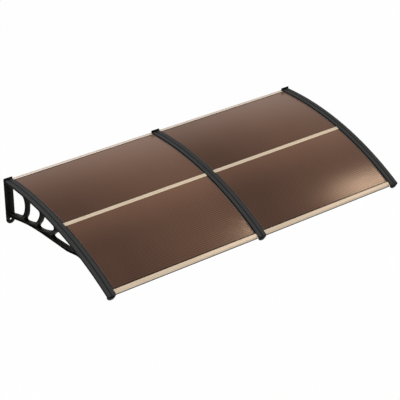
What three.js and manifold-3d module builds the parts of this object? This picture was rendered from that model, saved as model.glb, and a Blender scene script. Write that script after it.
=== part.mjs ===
// A polycarbonate patio awning for a wall: three moulded brackets carry two bays of arched twin-wall sheet.
// Millimetres, +Z up. The wall is the plane y = 0 and the awning reaches out along -Y.
// The origin is on the back of the middle bracket's wall plate, level with the sheets' top at the wall.

import * as THREE from 'three';
import { mergeVertices } from 'three/addons/utils/BufferGeometryUtils.js';
import Module from 'manifold-3d';

const wasm = await Module();
wasm.setup();

// The arch and its bays
const BRACKET_SPACING = 970;
const ARCH_RADIUS = 1770;
const CREST_FROM_WALL = 52;
const ARCH_LENGTH = 1015;
const ARCH_STEP = 48;
const GAP = 0.3;

// Twin-wall sheets
const SHEET_THICKNESS = 5;
const SHEET_SKIN = 0.7;
const SHEET_RIB = 0.7;
const FLUTE_PITCH = 11.8;
const SHEET_SIDE_GAP = 0.8;
const SHEET_EDGE_GAP = 0.5;

// Cover strips
const STRIP_WIDTH = 51.4;
const STRIP_RISE = 5.8;
const STRIP_WALL = 2.2;
const STRIP_EDGE_RADIUS = 1.8;
const STRIP_GROOVE_WIDTH = 9;
const STRIP_GROOVE_DEPTH = 0.9;

// Seals along the strips
const SEAL_LIP = 1.2;
const SEAL_TUCK = 5.5;
const SEAL_REACH = 8.8;
const SEAL_BEAD_WIDTH = 4.4;
const SEAL_BEAD_RISE = 1.1;

// Bracket: wall plate
const PLATE_WIDTH = 53.8;
const PLATE_THICKNESS = 5;
const PLATE_RISE = 16.4;
const PLATE_CORNER = 2.5;
const UPPER_HOLE_DROP = 58;
const LOWER_HOLE_DROP = 232;
const UPPER_HOLE_DIAMETER = 7;
const LOWER_HOLE_DIAMETER = 11;
const HOLE_RING_WIDTH = 5;
const HOLE_RING_RISE = 4.5;
const HOLE_NOTCH_CLEARANCE = 3;

// Bracket: rail, arm and struts
const MOULDING_WIDTH = 28;
const WEB_THICKNESS = 8;
const RIM_THICKNESS = 3.5;
const UPRIGHT_DEPTH = 12;
const RAIL_DEPTH = 18;
const FLANGE_WIDTH = 44;
const FLANGE_THICKNESS = 3.5;
const SPINE_WIDTH = 9;
const SPINE_RISE = 0.7;
const ARM_REACH = 735;
const ARM_THICKNESS = 15;
const ARM_ABOVE_LOWER_HOLE = 17;

// Bracket: nose
const NOSE_LENGTH = 14;
const NOSE_DEPTH = 22;
const NOSE_SIDE_DEPTH = 7;
const NOSE_TIP_LENGTH = 8;
const NOSE_TIP_RISE = 3;
const NOSE_BULGE = 8;
const NOSE_CORNER = 3;

// Aluminium profiles
const PROFILE_WALL = 1.4;
const PROFILE_RIB_WIDTH = 6;
const PROFILE_RIB_RISE = 0.7;
const REAR_PROFILE_WIDTH = 14.5;
const REAR_PROFILE_FROM_WALL = 0.5;
const REAR_PROFILE_UPSTAND = 4;
const MIDDLE_PROFILE_WIDTH = 23.4;
const MIDDLE_PROFILE_FROM_WALL = 509;
const FRONT_PROFILE_WIDTH = 18;
const FRONT_PROFILE_LEG = 14;
const FRONT_PROFILE_DROP = 17;
const FRONT_PROFILE_LIP = 3.5;
const FRONT_PROFILE_SETBACK = 22;

// Screws that draw each strip down onto its bracket
const SCREW_DIAMETER = 3.8;
const SCREW_HEAD_DIAMETER = 7.4;
const SCREW_HEAD_HEIGHT = 2.6;
const SCREW_HEAD_RECESS = 6;
const SCREW_TIP_COVER = 2.2;
const SCREW_SIDES = 8;
const SCREW_PLACES = [0.115, 0.36, 0.555, 0.8, 1.12];

// Levels above the sheets' top surface
const sheetUnder = -SHEET_THICKNESS;
const flangeTop = sheetUnder - GAP;
const flangeUnder = flangeTop - FLANGE_THICKNESS;
const railUnder = -RAIL_DEPTH;
const sealTop = GAP + SEAL_LIP;
const skirtUnder = sealTop + GAP;
const keelUnder = SPINE_RISE + GAP;
const stripCeiling = STRIP_RISE - STRIP_WALL;
const profileTop = GAP + PROFILE_WALL;
const profileUnder = flangeTop - PROFILE_WALL;
const headSeat = railUnder + SCREW_HEAD_RECESS;
const screwTip = STRIP_RISE - STRIP_GROOVE_DEPTH - SCREW_TIP_COVER;

// Places along the arch, measured from the wall on the sheets' top surface
const sheetRear = PLATE_THICKNESS + GAP;
const rearProfileFront = REAR_PROFILE_FROM_WALL + REAR_PROFILE_WIDTH;
const middleProfileRear = MIDDLE_PROFILE_FROM_WALL - MIDDLE_PROFILE_WIDTH / 2;
const middleProfileFront = MIDDLE_PROFILE_FROM_WALL + MIDDLE_PROFILE_WIDTH / 2;
const frontFace = ARCH_LENGTH - FRONT_PROFILE_SETBACK;
const frontProfileRear = frontFace - FRONT_PROFILE_WIDTH;
const sheetFront = frontFace - PROFILE_WALL - SHEET_EDGE_GAP;
const noseRear = ARCH_LENGTH - NOSE_LENGTH;
const noseTipRear = ARCH_LENGTH - NOSE_TIP_LENGTH;
const stripRear = PLATE_THICKNESS + GAP;
const stripFront = noseTipRear - GAP;

// Distances across from a bracket's middle
const stripSide = STRIP_WIDTH / 2;
const profileEnd = stripSide + GAP;
const rearProfileEnd = Math.max(stripSide, PLATE_WIDTH / 2) + GAP;
const sheetSide = SPINE_WIDTH / 2 + SHEET_SIDE_GAP;

const wallAngle = -Math.asin(CREST_FROM_WALL / ARCH_RADIUS);
const archCentreZ = -ARCH_RADIUS * Math.cos(wallAngle);
const frontAngle = wallAngle + frontFace / ARCH_RADIUS;

const material = {
  moulding: { color: 0x1c1c1b, roughness: 0.5, metalness: 0 },
  strip: { color: 0x3b3b39, roughness: 0.55, metalness: 0 },
  sheet: { color: 0x5b4033, roughness: 0.2, metalness: 0 },
  aluminium: { color: 0xd6bd9c, roughness: 0.35, metalness: 0.8 },
  seal: { color: 0x6e5f58, roughness: 0.5, metalness: 0 },
  screw: { color: 0x9a9a98, roughness: 0.35, metalness: 1 },
};

// A point from flat coordinates: across the awning, above the sheets' top, along the arch from the wall
function onArch(across, rise, along) {
  const angle = wallAngle + along / ARCH_RADIUS;
  const radius = ARCH_RADIUS + rise;
  return new THREE.Vector3(
    across,
    -CREST_FROM_WALL - radius * Math.sin(angle),
    archCentreZ + radius * Math.cos(angle),
  );
}

// The height of one level of the arch at a distance out from the wall
function archHeight(out, rise) {
  return archCentreZ + Math.sqrt((ARCH_RADIUS + rise) ** 2 - (out - CREST_FROM_WALL) ** 2);
}

// The place along the arch where one of its levels lies at a distance out from the wall
function alongAt(out, rise) {
  return (Math.asin((out - CREST_FROM_WALL) / (ARCH_RADIUS + rise)) - wallAngle) * ARCH_RADIUS;
}

function reshape(geometry, place) {
  const position = geometry.attributes.position;
  for (let i = 0; i < position.count; i += 1) {
    const moved = place(position.getX(i), position.getY(i), position.getZ(i));
    position.setXYZ(i, moved.x, moved.y, moved.z);
  }
  geometry.computeVertexNormals();
  return geometry;
}

function extrude(section, depth, steps = 1) {
  return new THREE.ExtrudeGeometry(section, { depth, steps, bevelEnabled: false });
}

function shapeOf(points) {
  return new THREE.Shape(points.map(([a, b]) => new THREE.Vector2(a, b)));
}

function rectangle(left, bottom, right, top) {
  return shapeOf([[left, bottom], [right, bottom], [right, top], [left, top]]);
}

// Points of a round corner about a centre, between two angles in degrees
function roundCorner(centre, radius, start, end, pieces = 4) {
  return Array.from({ length: pieces + 1 }, (_, i) => {
    const angle = THREE.MathUtils.degToRad(start + ((end - start) * i) / pieces);
    return [centre[0] + radius * Math.cos(angle), centre[1] + radius * Math.sin(angle)];
  });
}

// The places where every piece that follows the arch changes direction, from one place to another
function stations(from, to) {
  const first = Math.floor(from / ARCH_STEP) + 1;
  const last = Math.ceil(to / ARCH_STEP) - 1;
  const between = Array.from({ length: Math.max(0, last - first + 1) }, (_, i) => (first + i) * ARCH_STEP);
  return [from, ...between, to];
}

// A section drawn as (across, rise), swept along the arch
function archedBar(section, from, to) {
  const places = stations(from, to);
  const steps = places.length - 1;
  const bar = extrude(section, steps, steps);
  return reshape(bar, (across, rise, step) => onArch(across, rise, places[Math.round(step)]));
}

// A section drawn as (along, rise), swept straight across the awning
function crossBar(section, left, right) {
  const bar = extrude(section, right - left);
  return reshape(bar, (along, rise, across) => onArch(right - across, rise, along));
}

// A plan drawn as (across, along), both sides alike, swept upwards off the arch
function planBar(plan, bottom, top) {
  const bar = extrude(plan, top - bottom);
  return reshape(bar, (across, along, rise) => onArch(-across, bottom + rise, along));
}

// A side view drawn as (out from the wall, height), swept across the awning
function sideBar(view, left, right) {
  const bar = extrude(view, right - left);
  return reshape(bar, (out, height, across) => new THREE.Vector3(right - across, -out, height));
}

// A front view drawn as (across, height), swept out from the wall
function wallBar(view, near, far) {
  const bar = extrude(view, far - near);
  return reshape(bar, (across, height, out) => new THREE.Vector3(across, -near - out, height));
}

// A solid for joining and cutting, from a closed geometry
function solid(geometry) {
  const bare = geometry.clone();
  bare.deleteAttribute('normal');
  bare.deleteAttribute('uv');
  const welded = mergeVertices(bare, 1e-4);
  return new wasm.Manifold(new wasm.Mesh({
    numProp: 3,
    vertProperties: new Float32Array(welded.attributes.position.array),
    triVerts: new Uint32Array(welded.index.array),
  }));
}

function geometryOf(body) {
  const mesh = body.getMesh();
  const geometry = new THREE.BufferGeometry();
  geometry.setAttribute('position', new THREE.BufferAttribute(new Float32Array(mesh.vertProperties), 3));
  geometry.setIndex(new THREE.BufferAttribute(new Uint32Array(mesh.triVerts), 1));
  geometry.computeVertexNormals();
  return geometry;
}

// A turned piece standing on the arch, its profile drawn as (radius, rise)
function turnedOnArch(profile, along) {
  const piece = new THREE.LatheGeometry(profile.map(([a, b]) => new THREE.Vector2(a, b)), SCREW_SIDES);
  piece.rotateX(Math.PI / 2 + wallAngle + along / ARCH_RADIUS);
  const foot = onArch(0, 0, along);
  piece.translate(foot.x, foot.y, foot.z);
  return piece;
}

function rod(radius, bottom, top, along) {
  return turnedOnArch([[0, bottom], [radius, bottom], [radius, top], [0, top]], along);
}

function circle(across, height, radius) {
  const shape = new THREE.Shape();
  shape.absarc(across, height, radius, 0, 2 * Math.PI);
  return new THREE.Shape(shape.getPoints(8).slice(0, -1));
}

// One level of the arch as points of the side view
function archLine(rise, from, to) {
  return stations(from, to).map((along) => {
    const point = onArch(0, rise, along);
    return [-point.y, point.z];
  });
}

// The arm's lower edge: share of the arm's reach, and share of its drop at the wall
const armRootDrop = LOWER_HOLE_DROP - ARM_ABOVE_LOWER_HOLE;
const armEdge = [
  [0, 1], [0.094, 0.946], [0.2, 0.86], [0.312, 0.773], [0.448, 0.681], [0.578, 0.587], [0.709, 0.469],
  [0.797, 0.373], [0.871, 0.245], [0.925, 0.15], [0.962, 0.112], [1, RAIL_DEPTH / armRootDrop],
];

function smoothArmEdge() {
  const places = armEdge.map(([reach, drop]) => new THREE.Vector2(reach * ARM_REACH, drop * armRootDrop));
  return new THREE.SplineCurve(places).getPoints(28).map((point) => [point.x, archHeight(point.x, 0) - point.y]);
}

const armLine = smoothArmEdge();

function armUnderAt(out) {
  const next = Math.max(1, armLine.findIndex((point) => point[0] >= out));
  const [a, b] = [armLine[next - 1], armLine[next]];
  return a[1] + ((b[1] - a[1]) * (out - a[0])) / (b[0] - a[0]);
}

// The openings between the struts: share of the arm's reach, and share of the way down from rail to arm
const uprightShare = (PLATE_THICKNESS + UPRIGHT_DEPTH) / ARM_REACH;
const openings = [
  [
    [uprightShare, 0.85], [uprightShare + 0.01, 0.955], [0.078, 0.945], [0.144, 0.93], [0.196, 0.87],
    [0.228, 0.72], [0.247, 0.53], [0.2545, 0.33], [0.249, 0.13], [0.228, 0.005], [0.12, 0],
    [uprightShare + 0.01, 0.01], [uprightShare, 0.12], [uprightShare, 0.5],
  ],
  [
    [0.226, 0.93], [0.236, 1], [0.265, 1], [0.314, 0.965], [0.36, 0.88], [0.404, 0.69], [0.432, 0.46],
    [0.451, 0.2], [0.449, 0.02], [0.36, 0], [0.284, 0.02], [0.272, 0.25], [0.264, 0.56], [0.25, 0.79],
  ],
  [
    [0.4, 0.96], [0.413, 1], [0.455, 0.985], [0.522, 0.86], [0.588, 0.6], [0.63, 0.28], [0.634, 0.07],
    [0.617, 0.01], [0.545, 0], [0.48, 0.02], [0.466, 0.26], [0.443, 0.6], [0.412, 0.84],
  ],
  [
    [0.589, 0.93], [0.605, 1], [0.65, 1], [0.714, 0.98], [0.79, 0.93], [0.865, 0.82], [0.884, 0.52],
    [0.864, 0.12], [0.775, 0], [0.7, 0.03], [0.666, 0.26], [0.629, 0.6],
  ],
];

// A closed smooth outline of one opening, grown by a rim
function openingOutline(points, grow) {
  const places = points.map(([reach, share]) => {
    const out = reach * ARM_REACH;
    const top = archHeight(out, railUnder);
    const bottom = armUnderAt(out) + ARM_THICKNESS;
    return new THREE.Vector3(out, top + (bottom - top) * share, 0);
  });
  const curve = new THREE.CatmullRomCurve3(places, true, 'centripetal');
  const divisions = Math.round(1.6 * points.length);
  return shapeOf(Array.from({ length: divisions }, (_, i) => {
    const point = curve.getPoint(i / divisions);
    const heading = curve.getTangent(i / divisions);
    return [point.x + heading.y * grow, point.y - heading.x * grow];
  }));
}

function mouldingView() {
  const railFront = noseRear + FLANGE_THICKNESS;
  return shapeOf([
    ...archLine((flangeTop + flangeUnder) / 2, PLATE_THICKNESS / 2, railFront).reverse(),
    [PLATE_THICKNESS / 2, armLine[0][1]],
    ...armLine.slice(1),
    ...archLine(railUnder, alongAt(ARM_REACH, railUnder), railFront).slice(1),
  ]);
}

// The hollow side of the arm, the struts and the upright, inside their rims
function recessView() {
  const inside = armLine.filter(([out, height]) => (
    out > PLATE_THICKNESS && height + 2 * RIM_THICKNESS < archHeight(out, railUnder)
  ));
  const tip = inside[inside.length - 1];
  return shapeOf([
    ...archLine(railUnder, alongAt(PLATE_THICKNESS, railUnder), alongAt(tip[0], railUnder)).reverse(),
    [PLATE_THICKNESS, armUnderAt(PLATE_THICKNESS) + RIM_THICKNESS],
    ...inside.map(([out, height]) => [out, height + RIM_THICKNESS]),
  ]);
}

function onBothSides(view) {
  const outer = MOULDING_WIDTH / 2 + 1;
  return solid(sideBar(view, WEB_THICKNESS / 2, outer)).add(solid(sideBar(view, -outer, -WEB_THICKNESS / 2)));
}

function moulding() {
  const half = MOULDING_WIDTH / 2;
  let body = solid(sideBar(mouldingView(), -half, half));
  let recess = onBothSides(recessView());
  for (const points of openings) {
    recess = recess.subtract(solid(sideBar(openingOutline(points, RIM_THICKNESS), -half - 2, half + 2)));
  }
  body = body.subtract(recess);
  for (const points of openings) {
    body = body.subtract(solid(sideBar(openingOutline(points, 0), -half - 2, half + 2)));
  }
  return body;
}

// The upright beside the wall plate is a bare web, broken around the upper hole
function openUpright(body) {
  const front = PLATE_THICKNESS + UPRIGHT_DEPTH + RIM_THICKNESS;
  const top = archHeight(front, railUnder) - RIM_THICKNESS;
  const bottom = armUnderAt(front) + ARM_THICKNESS + 2 * RIM_THICKNESS;
  const notch = UPPER_HOLE_DIAMETER / 2 + HOLE_RING_WIDTH + HOLE_NOTCH_CLEARANCE;
  const half = MOULDING_WIDTH / 2 + 1;
  const sides = onBothSides(rectangle(PLATE_THICKNESS, bottom, front, top));
  const gap = rectangle(PLATE_THICKNESS, -UPPER_HOLE_DROP - notch, front, -UPPER_HOLE_DROP + notch);
  return body.subtract(sides).subtract(solid(sideBar(gap, -half, half)));
}

// The wall plate: square shoulders at the top, a round ear about the lower hole
function wallPlate() {
  const half = PLATE_WIDTH / 2;
  const shoulder = PLATE_RISE - PLATE_CORNER;
  const view = shapeOf([
    ...roundCorner([half - PLATE_CORNER, shoulder], PLATE_CORNER, 0, 90),
    ...roundCorner([PLATE_CORNER - half, shoulder], PLATE_CORNER, 90, 180),
    ...roundCorner([0, -LOWER_HOLE_DROP], half, 180, 360, 14),
  ]);
  return solid(wallBar(view, 0, PLATE_THICKNESS));
}

// The screw holes, the upper one through a raised ring that takes the pull
function withWallHoles(body) {
  const ringFront = PLATE_THICKNESS + HOLE_RING_RISE;
  const ring = circle(0, -UPPER_HOLE_DROP, UPPER_HOLE_DIAMETER / 2 + HOLE_RING_WIDTH);
  const upper = circle(0, -UPPER_HOLE_DROP, UPPER_HOLE_DIAMETER / 2);
  const lower = circle(0, -LOWER_HOLE_DROP, LOWER_HOLE_DIAMETER / 2);
  return body
    .add(solid(wallBar(ring, PLATE_THICKNESS / 2, ringFront)))
    .subtract(solid(wallBar(upper, -1, ringFront + 1)))
    .subtract(solid(wallBar(lower, -1, ringFront + 1)));
}

// The flange that the sheets rest on and the spine between their edges
function rail() {
  const from = PLATE_THICKNESS / 2;
  const flange = rectangle(-FLANGE_WIDTH / 2, flangeUnder, FLANGE_WIDTH / 2, flangeTop);
  const spine = rectangle(-SPINE_WIDTH / 2, flangeUnder, SPINE_WIDTH / 2, SPINE_RISE);
  return solid(archedBar(flange, from, noseRear + FLANGE_THICKNESS))
    .add(solid(archedBar(spine, from, frontFace + 1)));
}

// The nose: a bowl under the strip's end, its bulging tip standing out in front of the strip
function nose() {
  const half = stripSide;
  const below = -NOSE_DEPTH - 1;
  const side = shapeOf([
    [noseRear, flangeUnder],
    [noseTipRear, -NOSE_DEPTH],
    ...roundCorner([ARCH_LENGTH - NOSE_CORNER, NOSE_CORNER - NOSE_DEPTH], NOSE_CORNER, 270, 360),
    ...roundCorner([ARCH_LENGTH - NOSE_CORNER, NOSE_TIP_RISE - NOSE_CORNER], NOSE_CORNER, 0, 90),
    [noseTipRear, NOSE_TIP_RISE],
    [noseTipRear, SPINE_RISE],
    [frontFace, SPINE_RISE],
    [frontFace, flangeTop],
    [noseRear, flangeTop],
  ]);
  const bulgeRadius = (half ** 2 + NOSE_BULGE ** 2) / (2 * NOSE_BULGE);
  const spread = THREE.MathUtils.radToDeg(Math.asin(half / bulgeRadius));
  const plan = shapeOf([
    [-half, noseRear - 1],
    [half, noseRear - 1],
    ...roundCorner([0, ARCH_LENGTH - bulgeRadius], bulgeRadius, 90 - spread, 90 + spread, 10),
  ]);
  const bowlDepth = NOSE_DEPTH - NOSE_SIDE_DEPTH;
  const bowl = roundCorner([0, 0], 1, 180, 360, 12).map(([a, b]) => [half * a, bowlDepth * b - NOSE_SIDE_DEPTH]);
  const front = shapeOf([...bowl, [half, STRIP_RISE], [-half, STRIP_RISE]]);
  return solid(crossBar(side, -half, half))
    .intersect(solid(planBar(plan, below, STRIP_RISE)))
    .intersect(solid(archedBar(front, noseRear - 1, ARCH_LENGTH + 1)));
}

const screwAlongs = SCREW_PLACES.map((share) => alongAt(share * ARM_REACH, railUnder));

function bracket() {
  let body = openUpright(moulding()).add(wallPlate()).add(rail()).add(nose());
  body = withWallHoles(body);
  for (const along of screwAlongs) {
    body = body.subtract(solid(rod(SCREW_HEAD_DIAMETER / 2 + GAP, railUnder - 5, headSeat, along)));
    body = body.subtract(solid(rod(SCREW_DIAMETER / 2 + GAP, headSeat - 1, SPINE_RISE + 1, along)));
  }
  return geometryOf(body);
}

// A shallow cap over the sheets' edges, with a groove along its top and a keel above the bracket's spine
function coverStrip() {
  const groove = STRIP_GROOVE_WIDTH / 2;
  const inner = stripSide - STRIP_WALL;
  const keel = SPINE_WIDTH / 2;
  const shoulder = STRIP_RISE - STRIP_EDGE_RADIUS;
  const section = shapeOf([
    [-inner, skirtUnder], [-inner, stripCeiling], [-keel, stripCeiling], [-keel, keelUnder],
    [keel, keelUnder], [keel, stripCeiling], [inner, stripCeiling], [inner, skirtUnder],
    [stripSide, skirtUnder],
    ...roundCorner([stripSide - STRIP_EDGE_RADIUS, shoulder], STRIP_EDGE_RADIUS, 0, 90, 3),
    [groove, STRIP_RISE],
    [groove / 3, STRIP_RISE - STRIP_GROOVE_DEPTH],
    [-groove / 3, STRIP_RISE - STRIP_GROOVE_DEPTH],
    [-groove, STRIP_RISE],
    ...roundCorner([STRIP_EDGE_RADIUS - stripSide, shoulder], STRIP_EDGE_RADIUS, 90, 180, 3),
    [-stripSide, skirtUnder],
  ]);
  let body = solid(archedBar(section, stripRear, stripFront));
  for (const along of screwAlongs) {
    body = body.subtract(solid(rod(SCREW_DIAMETER / 2 + GAP, keelUnder - 2, screwTip + GAP, along)));
  }
  return geometryOf(body);
}

function screw(along) {
  const head = SCREW_HEAD_DIAMETER / 2;
  const shank = SCREW_DIAMETER / 2;
  const seat = headSeat - GAP;
  return turnedOnArch([
    [0, seat - SCREW_HEAD_HEIGHT],
    [0.7 * head, seat - SCREW_HEAD_HEIGHT],
    [head, seat - 0.55 * SCREW_HEAD_HEIGHT],
    [head, seat],
    [shank, seat],
    [shank, screwTip - SCREW_DIAMETER],
    [0, screwTip],
  ], along);
}

// A hollow sheet: two skins and ribs between them, its flutes running across the awning
function sheet(rear, front, left, right) {
  const cells = Math.floor((front - rear) / FLUTE_PITCH);
  const pitch = (front - rear) / cells;
  const view = (along, rise) => {
    const point = onArch(0, rise, along);
    return [-point.y, point.z];
  };
  const edges = Array.from({ length: cells + 1 }, (_, i) => rear + pitch * i);
  const section = shapeOf([
    ...edges.map((along) => view(along, sheetUnder)),
    ...edges.reverse().map((along) => view(along, 0)),
  ]);
  for (let i = 0; i < cells; i += 1) {
    const start = rear + pitch * i + SHEET_RIB / 2;
    const end = start + pitch - SHEET_RIB;
    const under = sheetUnder + SHEET_SKIN;
    section.holes.push(shapeOf([
      view(start, under), view(start, -SHEET_SKIN), view(end, -SHEET_SKIN), view(end, under),
    ]));
  }
  return sideBar(section, left, right);
}

// A channel over the sheet's rear edge, its back standing up against the wall
function rearProfile(left, right) {
  const back = REAR_PROFILE_FROM_WALL;
  const inner = back + PROFILE_WALL;
  return crossBar(shapeOf([
    [back, profileUnder], [rearProfileFront, profileUnder], [rearProfileFront, flangeTop], [inner, flangeTop],
    [inner, GAP], [rearProfileFront, GAP], [rearProfileFront, profileTop], [inner, profileTop],
    [inner, profileTop + REAR_PROFILE_UPSTAND], [back, profileTop + REAR_PROFILE_UPSTAND],
  ]), left, right);
}

// An H between the two sheets of a bay, two low ribs along its top
function middleProfile(left, right) {
  const centre = MIDDLE_PROFILE_FROM_WALL;
  const web = PROFILE_WALL / 2;
  const ribTop = profileTop + PROFILE_RIB_RISE;
  const ribMiddle = MIDDLE_PROFILE_WIDTH / 5;
  const ribs = [ribMiddle, -ribMiddle].flatMap((place) => [
    [centre + place + PROFILE_RIB_WIDTH / 2, profileTop],
    [centre + place + PROFILE_RIB_WIDTH / 3, ribTop],
    [centre + place - PROFILE_RIB_WIDTH / 3, ribTop],
    [centre + place - PROFILE_RIB_WIDTH / 2, profileTop],
  ]);
  return crossBar(shapeOf([
    [middleProfileRear, profileUnder], [middleProfileFront, profileUnder], [middleProfileFront, flangeTop],
    [centre + web, flangeTop], [centre + web, GAP], [middleProfileFront, GAP], [middleProfileFront, profileTop],
    ...ribs,
    [middleProfileRear, profileTop], [middleProfileRear, GAP], [centre - web, GAP], [centre - web, flangeTop],
    [middleProfileRear, flangeTop],
  ]), left, right);
}

// A channel over the sheet's front edge with an upright drip face and a lip turned back at its foot
function frontProfile(left, right) {
  const down = [Math.sin(frontAngle), -Math.cos(frontAngle)];
  const inward = [-Math.cos(frontAngle), -Math.sin(frontAngle)];
  const corner = [frontFace, profileTop];
  const from = (start, lower, back) => [
    start[0] + down[0] * lower + inward[0] * back,
    start[1] + down[1] * lower + inward[1] * back,
  ];
  const inside = (rise) => {
    const start = from(corner, 0, PROFILE_WALL);
    return from(start, (rise - start[1]) / down[1], 0);
  };
  const foot = from(corner, FRONT_PROFILE_DROP, 0);
  const leg = frontFace - FRONT_PROFILE_LEG;
  return crossBar(shapeOf([
    corner, [frontProfileRear, profileTop], [frontProfileRear, GAP], inside(GAP), inside(flangeTop),
    [leg, flangeTop], [leg, profileUnder], inside(profileUnder),
    from(foot, -PROFILE_WALL, PROFILE_WALL), from(foot, -PROFILE_WALL, FRONT_PROFILE_LIP),
    from(foot, 0, FRONT_PROFILE_LIP), foot,
  ]), left, right);
}

// A soft lip under the strip's skirt, ending in a bead on the sheet; side is +1 or -1 from the bracket
function seal(side, from, to) {
  const inner = stripSide - SEAL_TUCK;
  const outer = stripSide + SEAL_REACH;
  const bead = outer - SEAL_BEAD_WIDTH;
  const beadTop = sealTop + SEAL_BEAD_RISE;
  const points = [
    [inner, GAP], [outer, GAP], [outer, sealTop], [outer - 0.25 * SEAL_BEAD_WIDTH, beadTop],
    [bead + 0.25 * SEAL_BEAD_WIDTH, beadTop], [bead, sealTop], [inner, sealTop],
  ];
  return archedBar(shapeOf(points.map(([across, rise]) => [side * across, rise])), from, to);
}

const awning = new THREE.Group();

function put(name, geometry, look, x) {
  const mesh = new THREE.Mesh(geometry, new THREE.MeshStandardMaterial({ ...look, name }));
  mesh.name = name;
  mesh.position.x = x;
  awning.add(mesh);
}

const sealRuns = { rear: [rearProfileFront, middleProfileRear], front: [middleProfileFront, frontProfileRear] };
const brackets = { left: [-BRACKET_SPACING, [1]], middle: [0, [-1, 1]], right: [BRACKET_SPACING, [-1]] };
const sideNames = { '-1': 'left', 1: 'right' };

for (const [name, [x, sides]] of Object.entries(brackets)) {
  put(`${name}_bracket`, bracket(), material.moulding, x);
  put(`${name}_cover_strip`, coverStrip(), material.strip, x);
  screwAlongs.forEach((along, i) => put(`${name}_strip_screw_${i + 1}`, screw(along), material.screw, x));
  for (const side of sides) {
    for (const [run, [from, to]] of Object.entries(sealRuns)) {
      const edge = `${name}_bracket_${run}_${sideNames[side]}_seal`;
      put(edge, seal(side, from + SHEET_EDGE_GAP, to - SHEET_EDGE_GAP), material.seal, x);
    }
  }
}

const joint = PROFILE_WALL / 2 + SHEET_EDGE_GAP;
const halfBay = BRACKET_SPACING / 2;

for (const [bay, x] of [['left', -halfBay], ['right', halfBay]]) {
  const reach = halfBay - sheetSide;
  const length = halfBay - profileEnd;
  const rearLength = halfBay - rearProfileEnd;
  const rear = sheet(sheetRear, MIDDLE_PROFILE_FROM_WALL - joint, -reach, reach);
  const front = sheet(MIDDLE_PROFILE_FROM_WALL + joint, sheetFront, -reach, reach);
  put(`${bay}_rear_sheet`, rear, material.sheet, x);
  put(`${bay}_front_sheet`, front, material.sheet, x);
  put(`${bay}_rear_profile`, rearProfile(-rearLength, rearLength), material.aluminium, x);
  put(`${bay}_middle_profile`, middleProfile(-length, length), material.aluminium, x);
  put(`${bay}_front_profile`, frontProfile(-length, length), material.aluminium, x);
}

export default awning;
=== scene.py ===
import math

import bmesh
import bpy
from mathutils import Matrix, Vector


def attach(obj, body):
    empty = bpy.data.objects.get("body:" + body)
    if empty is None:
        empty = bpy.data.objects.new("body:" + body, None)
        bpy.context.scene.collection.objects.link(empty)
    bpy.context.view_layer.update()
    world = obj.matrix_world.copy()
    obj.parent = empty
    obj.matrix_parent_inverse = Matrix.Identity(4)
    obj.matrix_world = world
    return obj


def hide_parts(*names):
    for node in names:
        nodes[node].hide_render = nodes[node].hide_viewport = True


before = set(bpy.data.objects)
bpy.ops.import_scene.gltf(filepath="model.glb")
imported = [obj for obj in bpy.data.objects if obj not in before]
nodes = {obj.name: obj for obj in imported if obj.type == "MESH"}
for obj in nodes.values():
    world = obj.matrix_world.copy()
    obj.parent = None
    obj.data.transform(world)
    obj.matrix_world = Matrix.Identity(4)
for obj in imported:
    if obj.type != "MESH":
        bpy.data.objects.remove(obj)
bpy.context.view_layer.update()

# The arch that every sheet and strip follows, as in the part's source
BRACKET_SPACING = 0.97
HALF_BAY = BRACKET_SPACING / 2
ARCH_RADIUS = 1.77
CREST_FROM_WALL = 0.052
WALL_ANGLE = -math.asin(CREST_FROM_WALL / ARCH_RADIUS)
ARCH_CENTRE_Z = -ARCH_RADIUS * math.cos(WALL_ANGLE)

# Distances across from a bracket's middle; a pair is where a painted mark starts and ends: the painted
# shade on the strip's sides and the painted highlight on a seal's bead
STRIP_PAINTED_SHADE_EDGE = (0.0233, 0.0249)
GROOVE_HALF = 0.0045
SEAL_PAINTED_HIGHLIGHT_EDGE = (0.0314, 0.0323)
SEAL_OUTER = 0.0345

# Places along the arch, from the wall
REAR_SHEET = (0.0053, 0.5078)
FRONT_SHEET = (0.5102, 0.9911)
REAR_PROFILE_FRONT = 0.015
MIDDLE_PROFILE_REAR = 0.4973
FRONT_PROFILE_REAR = 0.975
REAR_PROFILE_END = (0.02, 0.03)
FLUTE_PITCH = 0.0118

# Heights above the sheets' top surface between which the painted shadow line along the front profile's
# foot ends
PAINTED_FOOT_SHADOW = (-0.0082, -0.0074)

# Added to x before a pattern that repeats with the bays, so that it starts above 0
WHOLE_BAYS = 10

BRACKETS = ("left", "middle", "right")
BAYS = {"left": -HALF_BAY, "right": HALF_BAY}


class Value:
    """A shader socket; sums, products and powers of it add their Math nodes."""

    def __init__(self, graph, socket):
        self.graph = graph
        self.socket = socket

    def maths(self, operation, *terms):
        return self.graph.node("ShaderNodeMath", {"operation": operation}, dict(enumerate(terms)))

    def __add__(self, other):
        return self.maths("ADD", self, other)

    def __sub__(self, other):
        return self.maths("SUBTRACT", self, other)

    def __rsub__(self, other):
        return self.maths("SUBTRACT", other, self)

    def __mul__(self, other):
        return self.maths("MULTIPLY", self, other)

    def __truediv__(self, other):
        return self.maths("DIVIDE", self, other)

    def __pow__(self, other):
        return self.maths("POWER", self, other)

    __radd__ = __add__
    __rmul__ = __mul__

    def larger(self, other):
        return self.maths("MAXIMUM", self, other)

    def fraction(self):
        return self.maths("FRACT", self)

    def ping_pong(self, scale):
        return self.maths("PINGPONG", self, scale)

    def sine(self):
        return self.maths("SINE", self)

    def angle_over(self, other):
        return self.maths("ARCTAN2", self, other)

    def ramp(self, low, high):
        """0 below low, 1 above high, smooth between."""
        return self.graph.node(
            "ShaderNodeMapRange",
            {"interpolation_type": "SMOOTHSTEP"},
            {"Value": self, "From Min": low, "From Max": high},
        )

    def also(self, name):
        """Another output of the same node."""
        return Value(self.graph, self.socket.node.outputs[name])


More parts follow.
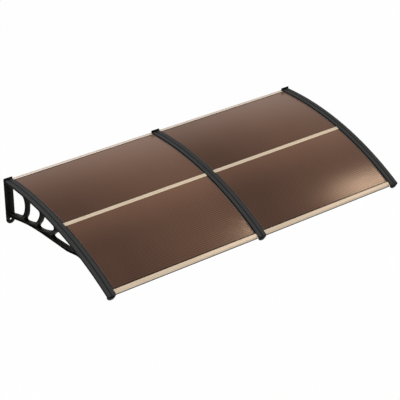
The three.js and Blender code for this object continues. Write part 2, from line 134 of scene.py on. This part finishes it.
class Graph:
    """The nodes of a material or of the world."""

    def __init__(self, tree):
        self.tree = tree

    def node(self, kind, settings, sockets, output=0):
        made = self.tree.nodes.new(kind)
        for name, value in settings.items():
            setattr(made, name, value)
        for name, value in sockets.items():
            self.feed(made.inputs[name], value)
        return Value(self, made.outputs[output])

    def feed(self, socket, value):
        if isinstance(value, Value):
            self.tree.links.new(value.socket, socket)
        else:
            socket.default_value = value


# The colour sockets of a Mix node, whose names other data types share
MIX_FACTOR, MIX_A, MIX_B, MIX_RESULT = 0, 6, 7, 2


class Finish(Graph):
    """A material with one Principled shader; constants name its sockets, with _ for a space."""

    def __init__(self, name, **constants):
        self.material = bpy.data.materials.new(name)
        self.material.use_nodes = True
        super().__init__(self.material.node_tree)
        self.shader = self.tree.nodes["Principled BSDF"]
        for socket, value in constants.items():
            self.shader.inputs[socket.replace("_", " ")].default_value = value
        self.place = self.node("ShaderNodeTexCoord", {}, {}, "Object")
        self.x = self.node("ShaderNodeSeparateXYZ", {}, {0: self.place}, "X")
        self.y = self.x.also("Y")
        self.z = self.x.also("Z")

    def set(self, socket, value):
        self.feed(self.shader.inputs[socket], value)

    def mix(self, factor, a, b):
        sockets = {MIX_FACTOR: factor, MIX_A: a, MIX_B: b}
        return self.node("ShaderNodeMix", {"data_type": "RGBA"}, sockets, MIX_RESULT)

    def noise(self, scale, detail=2.0, stretch=None):
        place = self.place
        if stretch:
            place = self.node("ShaderNodeMapping", {}, {"Vector": place, "Scale": stretch})
        return self.node("ShaderNodeTexNoise", {}, {"Vector": place, "Scale": scale, "Detail": detail})

    def bump(self, height, distance, strength=1.0, under=None):
        sockets = {"Height": height, "Distance": distance, "Strength": strength}
        if under:
            sockets["Normal"] = under
        return self.node("ShaderNodeBump", {}, sockets)

    def along(self):
        """Distance along the arch from the wall."""
        out = (self.y + CREST_FROM_WALL) * -1.0
        angle = out.angle_over(self.z - ARCH_CENTRE_Z)
        return (angle - WALL_ANGLE) * ARCH_RADIUS

    def rise(self):
        """Height above the sheets' top surface, square to the arch."""
        out = self.y + CREST_FROM_WALL
        up = self.z - ARCH_CENTRE_Z
        return (out * out + up * up) ** 0.5 - ARCH_RADIUS

    def across_bay(self):
        """0 at the left of each bay, 1 at its right."""
        return (self.x / BRACKET_SPACING + WHOLE_BAYS).fraction()

    def from_bracket(self):
        """Distance across from the middle of the nearest bracket."""
        return (self.x + WHOLE_BAYS * BRACKET_SPACING).ping_pong(HALF_BAY)


def colour(red, green, blue):
    return (red, green, blue, 1)


def moulding_finish():
    finish = Finish("black moulded plastic", IOR=1.46, Specular_IOR_Level=0.12)
    cloud = finish.noise(14, 3.0)
    body = finish.mix(cloud, colour(0.003, 0.003, 0.0028), colour(0.006, 0.006, 0.0054))
    finish.set("Base Color", body)
    finish.set("Roughness", 0.38 + cloud * 0.16)
    grain = finish.noise(900, 1.0)
    finish.set("Normal", finish.bump(grain, 0.00012, 0.5))
    return finish.material


def strip_finish():
    finish = Finish("dark grey strip", IOR=1.46, Specular_IOR_Level=0.1)
    side = finish.from_bracket()
    cloud = finish.noise(9, 3.0, (1, 0.4, 1))
    # Painted shade: the strip's sides are painted near black, and its centre groove darker than its
    # top
    edge = side.ramp(*STRIP_PAINTED_SHADE_EDGE)
    painted_groove_shade = 1.0 - side.ramp(GROOVE_HALF / 2, GROOVE_HALF)
    top = finish.mix(cloud, colour(0.034, 0.0355, 0.036), colour(0.041, 0.0425, 0.043))
    top_with_painted_groove_shade = finish.mix(painted_groove_shade, top, colour(0.010, 0.010, 0.010))
    finish.set("Base Color", finish.mix(edge, top_with_painted_groove_shade, colour(0.002, 0.002, 0.002)))
    finish.set("Roughness", 0.5 + cloud * 0.12)
    grain = finish.noise(1100, 1.0)
    finish.set("Normal", finish.bump(grain, 0.0001, 0.5))
    return finish.material


# How much each sheet crowns between its edges: the fall, in metres, a metre away from its middle
CROWN_ACROSS = 0.09
CROWN_ALONG = 0.1
# Distances from a rib's middle between which its dark line fades out under the skin
RIB_SHOWS = (0.0005, 0.0036)
# The painted shade on a sheet starts this far behind its rear edge
PAINTED_SHADE_FROM = -0.05
# A bay's right side has its full painted light from this share of the bay's width
PAINTED_LIGHT_ACROSS = 0.8
# How much painted shade a sheet has at the left, from 0, pale, to 1, dark: at its front and at its
# rear edge
PAINTED_FRONT_SHADE = 1.07
PAINTED_REAR_SHADE = 0.45


def sheet_finish(name, start, end, fade, painted_right_light):
    """Bronze twin-wall sheet: ribs show through the skin, and it crowns a little between its edges.

    Shade and light are painted into its colour: it is palest at its rear edge and painted darker at
    the distance fade from there; painted_right_light paints its right side paler.
    """
    finish = Finish(name, IOR=1.58, Specular_IOR_Level=0.27, Specular_Tint=colour(1.0, 0.74, 0.54))
    along = finish.along()
    cells = math.floor((end - start) / FLUTE_PITCH)
    pitch = (end - start) / cells
    from_rib = (along - start).ping_pong(pitch / 2)
    rib = 1.0 - from_rib.ramp(*RIB_SHOWS)
    swell = ((from_rib / pitch) * (2 * math.pi)).sine()
    haze = finish.noise(5, 2.0, (1, 0.5, 1))
    # Painted shade along the sheet and painted light across the bay: pale and dark are lit and shaded
    # copies of the bronze
    painted_shade_along = (along - start).ramp(PAINTED_SHADE_FROM, fade)
    right = finish.across_bay().ramp(0.0, PAINTED_LIGHT_ACROSS)
    shade = painted_shade_along * (PAINTED_FRONT_SHADE - right * painted_right_light) + (1.0 - painted_shade_along) * (1.0 - right) * PAINTED_REAR_SHADE
    pale = finish.mix(haze, colour(0.178, 0.091, 0.058), colour(0.200, 0.104, 0.067))
    dark = finish.mix(haze, colour(0.082, 0.043, 0.030), colour(0.094, 0.050, 0.036))
    body = finish.mix(shade, pale, dark)
    ribbed = finish.mix(rib * (0.25 + painted_shade_along * 0.35), body, colour(0.035, 0.016, 0.011))
    finish.set("Base Color", ribbed)
    finish.set("Roughness", 0.19 + haze * 0.04)
    across = HALF_BAY - finish.from_bracket()
    length = along - (start + end) / 2
    crown = (across * across) * -CROWN_ACROSS - (length * length) * CROWN_ALONG
    finish.set("Normal", finish.bump(swell * painted_shade_along, 0.00025, 0.35, finish.bump(crown, 1.0)))
    return finish.material


def aluminium_finish():
    finish = Finish("champagne aluminium", Metallic=0.22)
    lines = finish.noise(1.0, 2.0, (3, 1400, 1400))
    cloud = finish.noise(6, 2.0)
    body = finish.mix(cloud, colour(0.645, 0.52, 0.385), colour(0.725, 0.59, 0.443))
    at_wall = 1.0 - finish.along().ramp(*REAR_PROFILE_END)
    body = finish.mix(at_wall, body, colour(0.75, 0.655, 0.57))
    # Painted shadow: the front profile's foot is painted dark, as if in the shade of its drip lip
    painted_foot_shadow = 1.0 - finish.rise().ramp(*PAINTED_FOOT_SHADOW)
    finish.set("Base Color", finish.mix(painted_foot_shadow, body, colour(0.02, 0.016, 0.012)))
    finish.set("Roughness", 0.42 + lines * 0.14)
    finish.set("Normal", finish.bump(lines, 0.00004, 0.6))
    return finish.material


def seal_finish():
    finish = Finish("brown seal", IOR=1.5, Specular_IOR_Level=0.3)
    # The lip under the strip is painted near black as painted shade, and the bead pale as a painted
    # highlight
    bead = finish.from_bracket().ramp(*SEAL_PAINTED_HIGHLIGHT_EDGE)
    grain = finish.noise(500, 1.0)
    body = finish.mix(bead, colour(0.012, 0.009, 0.008), colour(0.15, 0.10, 0.082))
    finish.set("Base Color", body)
    finish.set("Roughness", 0.42 + grain * 0.1)
    return finish.material


def gasket_and_shadow_finish():
    finish = Finish("dark rubber gasket", IOR=1.5, Specular_IOR_Level=0.22)
    grain = finish.noise(400, 2.0)
    # Near black, to paint the shadow line beside each profile as well as the rubber's own colour
    body = finish.mix(grain, colour(0.007, 0.005, 0.003), colour(0.012, 0.008, 0.005))
    finish.set("Base Color", body)
    finish.set("Roughness", 0.24 + grain * 0.1)
    return finish.material


def screw_finish():
    finish = Finish("zinc plated screw", Metallic=1.0)
    cloud = finish.noise(300, 2.0)
    body = finish.mix(cloud, colour(0.48, 0.48, 0.46), colour(0.62, 0.62, 0.6))
    finish.set("Base Color", body)
    finish.set("Roughness", 0.25 + cloud * 0.2)
    return finish.material


moulding = moulding_finish()
strip = strip_finish()
rear_sheet = sheet_finish("bronze rear sheet", *REAR_SHEET, 0.5, 0.7)
front_sheet = sheet_finish("bronze front sheet", *FRONT_SHEET, 0.24, 0.56)
aluminium = aluminium_finish()
seal = seal_finish()
gasket = gasket_and_shadow_finish()
screw = screw_finish()


def dress(name, material):
    node = nodes[name]
    node.data.materials.clear()
    node.data.materials.append(material)


# Edges sharper than this are shaded sharp on a new piece
SHADED_SHARP = math.radians(32)
# Edges sharper than this are rounded on a copy of a solid
ROUNDED_FROM = math.radians(35)
# Faces of a solid that lie this close to one plane become one face on its copy
ONE_PLANE = math.radians(0.6)
MERGE_DISTANCE = 0.00005
MOULDING_EDGE_RADIUS = 0.0007
THIN_EDGE_RADIUS = 0.0003


def add_piece(name, shape, material):
    mesh = bpy.data.meshes.new(name)
    shape.to_mesh(mesh)
    shape.free()
    mesh.set_sharp_from_angle(angle=SHADED_SHARP)
    mesh.materials.append(material)
    piece = bpy.data.objects.new(name, mesh)
    bpy.context.scene.collection.objects.link(piece)
    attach(piece, "root")
    return piece


def soften(shape, edges, radius):
    bmesh.ops.bevel(
        shape, geom=edges, offset=radius, offset_type="OFFSET", segments=2, profile=0.5,
        affect="EDGES", clamp_overlap=False, material=-1,
    )
    bmesh.ops.recalc_face_normals(shape, faces=shape.faces)
    for face in shape.faces:
        face.smooth = True


def rounded_copy(name, material, radius):
    """A copy of a solid with its sharp edges rounded, standing in for it."""
    shape = bmesh.new()
    shape.from_mesh(nodes[name].data)
    bmesh.ops.remove_doubles(shape, verts=shape.verts, dist=MERGE_DISTANCE)
    bmesh.ops.dissolve_limit(
        shape, angle_limit=ONE_PLANE, verts=shape.verts, edges=shape.edges,
        use_dissolve_boundaries=False,
    )
    edges = [
        edge for edge in shape.edges
        if edge.is_manifold and edge.calc_face_angle() > ROUNDED_FROM
    ]
    soften(shape, edges, radius)
    piece = add_piece(name + "_rounded", shape, material)
    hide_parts(name)


def on_arch(across, rise, along):
    """A point from its places across the awning, above the sheets' top and along the arch."""
    angle = WALL_ANGLE + along / ARCH_RADIUS
    radius = ARCH_RADIUS + rise
    out = CREST_FROM_WALL + radius * math.sin(angle)
    return Vector((across, -out, ARCH_CENTRE_Z + radius * math.cos(angle)))


# The gaskets are dark rubber beads whose width and darkness also stand in for the shadow line beside
# each profile: painted shadow
GASKET_WIDTH = 0.0036
FRONT_GASKET_WIDTH = 0.0048
GASKET_RISE = 0.0011
GASKET_CLEARANCE = 0.0003
# Of a gasket's section: the sides' height, a share of its rise, and its top, shares of its width
GASKET_SIDE = 0.6
GASKET_TOP = (0.3, 0.7)


def cross_gasket_and_shadow(name, centre, start, width):
    """A thin rubber bead on a sheet along one edge of an aluminium profile, from seal to seal; its
    width and dark colour also stand in for the profile's shadow line, as painted shadow.
    """
    half = HALF_BAY - SEAL_OUTER - GASKET_CLEARANCE
    top_start, top_end = (start + share * width for share in GASKET_TOP)
    side_height = GASKET_SIDE * GASKET_RISE
    section = [
        (start, GASKET_CLEARANCE), (start + width, GASKET_CLEARANCE),
        (start + width, side_height), (top_end, GASKET_RISE),
        (top_start, GASKET_RISE), (start, side_height),
    ]
    shape = bmesh.new()
    corners = [shape.verts.new(on_arch(centre - half, rise, along)) for along, rise in section]
    end = shape.faces.new(corners)
    drawn = bmesh.ops.extrude_face_region(shape, geom=[end])["geom"]
    far_corners = [part for part in drawn if isinstance(part, bmesh.types.BMVert)]
    bmesh.ops.translate(shape, verts=far_corners, vec=(2 * half, 0, 0))
    bmesh.ops.recalc_face_normals(shape, faces=shape.faces)
    add_piece(name, shape, gasket)


for bracket in BRACKETS:
    rounded_copy(f"{bracket}_bracket", moulding, MOULDING_EDGE_RADIUS)
    rounded_copy(f"{bracket}_cover_strip", strip, THIN_EDGE_RADIUS)
for bay, centre in BAYS.items():
    dress(f"{bay}_rear_sheet", rear_sheet)
    dress(f"{bay}_front_sheet", front_sheet)
    for place in ("rear", "middle", "front"):
        rounded_copy(f"{bay}_{place}_profile", aluminium, THIN_EDGE_RADIUS)
    rear_start = REAR_PROFILE_FRONT + GASKET_CLEARANCE
    middle_start = MIDDLE_PROFILE_REAR - GASKET_CLEARANCE - GASKET_WIDTH
    front_start = FRONT_PROFILE_REAR - GASKET_CLEARANCE - FRONT_GASKET_WIDTH
    cross_gasket_and_shadow(f"{bay}_rear_profile_gasket", centre, rear_start, GASKET_WIDTH)
    cross_gasket_and_shadow(f"{bay}_middle_profile_gasket", centre, middle_start, GASKET_WIDTH)
    cross_gasket_and_shadow(f"{bay}_front_profile_gasket", centre, front_start, FRONT_GASKET_WIDTH)
for name in nodes:
    if name.endswith("_seal"):
        dress(name, seal)
    elif "_screw_" in name:
        dress(name, screw)


FLOOR_HALF_SIZE = 14
FLOOR_HEIGHT = -2.3
# The share of its own white that the camera sees on the floor; the rest keeps the awning's shadow
FLOOR_GLOW = 0.97


def stage_floor():
    shape = bmesh.new()
    bmesh.ops.create_grid(shape, x_segments=1, y_segments=1, size=FLOOR_HALF_SIZE)
    bmesh.ops.translate(shape, verts=shape.verts, vec=(0, 0, FLOOR_HEIGHT))
    mesh = bpy.data.meshes.new("floor")
    shape.to_mesh(mesh)
    shape.free()
    finish = Finish("pale floor", Roughness=0.9)
    finish.set("Base Color", colour(0.86, 0.86, 0.86))
    glow = finish.node("ShaderNodeEmission", {}, {"Color": colour(1, 1, 1), "Strength": 1.0})
    seen = finish.node("ShaderNodeLightPath", {}, {}, "Is Camera Ray")
    lit = Value(finish, finish.shader.outputs["BSDF"])
    blend = finish.node("ShaderNodeMixShader", {}, {0: seen * FLOOR_GLOW, 1: lit, 2: glow})
    finish.feed(finish.tree.nodes["Material Output"].inputs["Surface"], blend)
    mesh.materials.append(finish.material)
    floor = bpy.data.objects.new("floor", mesh)
    bpy.context.scene.collection.objects.link(floor)


# The world's strength for plain light, and for reflections near the horizon and overhead
AMBIENT = 0.62
HORIZON_REFLECTION = 0.7
ZENITH_REFLECTION = 0.25
# Reflections pass from one to the other between these heights of their direction, where 1 is up
OVERHEAD = (0.4, 0.78)


def studio_world():
    """White behind the awning; reflections see it pale near the horizon and greyer overhead."""
    world = bpy.data.worlds.new("studio")
    bpy.context.scene.world = world
    world.use_nodes = True
    graph = Graph(world.node_tree)
    background = graph.tree.nodes["Background"]
    background.inputs["Color"].default_value = colour(1, 1, 1)
    seen = graph.node("ShaderNodeLightPath", {}, {}, "Is Camera Ray")
    glossy = seen.also("Is Glossy Ray")
    plain = seen.larger(seen.also("Is Transmission Ray"))
    direction = graph.node("ShaderNodeTexCoord", {}, {}, "Generated")
    height = graph.node("ShaderNodeSeparateXYZ", {}, {0: direction}, "Z")
    overhead = height.ramp(*OVERHEAD)
    reflected = HORIZON_REFLECTION - overhead * (HORIZON_REFLECTION - ZENITH_REFLECTION)
    strength = plain.larger(glossy * reflected).larger(AMBIENT * (1.0 - glossy))
    graph.feed(background.inputs["Strength"], strength)


def lamp(name, position, target, size, power, shade):
    light = bpy.data.lights.new(name, "AREA")
    light.shape = "RECTANGLE"
    light.size, light.size_y = size
    light.energy = power
    light.color = shade
    made = bpy.data.objects.new(name, light)
    made.location = position
    made.rotation_euler = (Vector(target) - Vector(position)).to_track_quat("-Z", "Y").to_euler()
    bpy.context.scene.collection.objects.link(made)


# The camera as fitted to the photo: its place, how far it looks down and right, its lens in mm
CAMERA_PLACE = (-4.2678, -5.9356, 3.4986)
CAMERA_DOWN = math.radians(28.32)
CAMERA_RIGHT = math.radians(37.72)
CAMERA_LENS = 128.07
CAMERA_SENSOR = 36


def photo_camera():
    lens = bpy.data.cameras.new("photo")
    lens.lens = CAMERA_LENS
    lens.sensor_width = CAMERA_SENSOR
    lens.clip_end = 100
    camera = bpy.data.objects.new("photo", lens)
    camera.location = CAMERA_PLACE
    camera.rotation_euler = (math.pi / 2 - CAMERA_DOWN, 0, -CAMERA_RIGHT)
    bpy.context.scene.collection.objects.link(camera)
    bpy.context.scene.camera = camera


stage_floor()
studio_world()
photo_camera()
CENTRE = (0, -0.48, -0.1)
FRONT_RIGHT_CORNER = (0.82, -0.91, -0.22)
WHITE = (1.0, 1.0, 1.0)
WARM = (1.0, 0.87, 0.72)
lamp("back top lamp", (-2.2, 2.4, 4.4), CENTRE, (3, 2), 110, WHITE)
lamp("right highlight lamp", (9.82, -1.92, 8.5), FRONT_RIGHT_CORNER, (2.0, 2.7), 300, WARM)
lamp("front lamp", (-2.5, -5.5, 2.5), CENTRE, (3, 2), 80, WHITE)

bpy.context.scene.view_settings.view_transform = "Standard"
